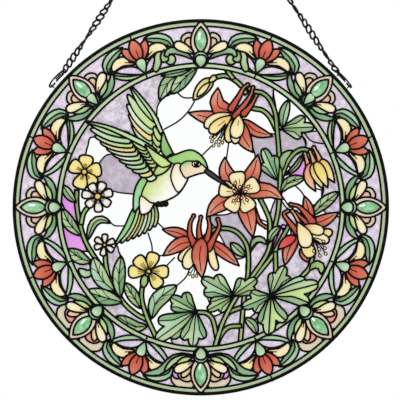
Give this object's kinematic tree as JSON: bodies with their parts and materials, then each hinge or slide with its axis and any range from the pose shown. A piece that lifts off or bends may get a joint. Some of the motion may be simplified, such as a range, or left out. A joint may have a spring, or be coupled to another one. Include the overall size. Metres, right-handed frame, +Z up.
{
  "type": "stained glass window panel",
  "caption": "Round leaded glass panel with a hummingbird among columbines inside a jewelled border, hung in a window from a ring by two strands of chain.",
  "frame": {"origin": "the inner top of the hang ring, where it bears on its hook", "axes": "+X to the right of the picture, +Y to the back, +Z up; the picture faces -Y"},
  "size_m": [0.305, 0.0088, 0.4349],
  "materials": {
    "black_lead": "lead came and solder darkened with black patina",
    "black_steel": "blackened steel chain, clasps and ring",
    "band_glass": "pale green opal glass, glossy",
    "border_glass": "mottled lilac opal glass, glossy",
    "lilac_glass": "streaky lilac opal glass, glossy",
    "clear_glass": "clear glass, polished",
    "jewel_glass": "pressed green glass jewel, polished",
    "bird_glass": "bright green opal glass, glossy",
    "green_glass": "green opal glass, glossy",
    "red_glass": "red and cream opal glass, glossy",
    "yellow_glass": "yellow opal glass, glossy",
    "white_glass": "warm white opal glass, glossy"
  },
  "bodies": {
    "root": {"rim": "black_lead", "outer_band_glass": "band_glass", "border_glass": "border_glass", "inner_band_glass": "band_glass", "yellow_flower_upper": "yellow_glass", "yellow_flower_lower": "yellow_glass", "white_daisy": "white_glass", "white_flower_small": "white_glass", "yellow_bud": "yellow_glass", "hanging_bud": "yellow_glass", "columbine_top": "red_glass", "columbine_centre": "red_glass", "columbine_lower": "red_glass", "columbine_right": "red_glass", "hummingbird_far_wing": "green_glass", "hummingbird_tail": "green_glass", "hummingbird_body": "bird_glass", "hummingbird_near_wing": "green_glass", "clear_glass": "clear_glass", "lilac_glass_upper": "lilac_glass", "lilac_glass_right": "lilac_glass", "lilac_glass_lower": "lilac_glass", "leading": "black_lead", "hanging_loop_left": "black_steel", "clasp_left": "black_steel", "chain_left": "black_steel", "hanging_loop_right": "black_steel", "clasp_right": "black_steel", "chain_right": "black_steel", "hang_ring": "black_steel", "border_jewel_1": "jewel_glass", "border_jewel_2": "jewel_glass", "border_jewel_3": "jewel_glass", "border_jewel_4": "jewel_glass", "border_jewel_5": "jewel_glass", "border_jewel_6": "jewel_glass", "border_jewel_7": "jewel_glass", "border_jewel_8": "jewel_glass"}
  },
  "joints": []
}
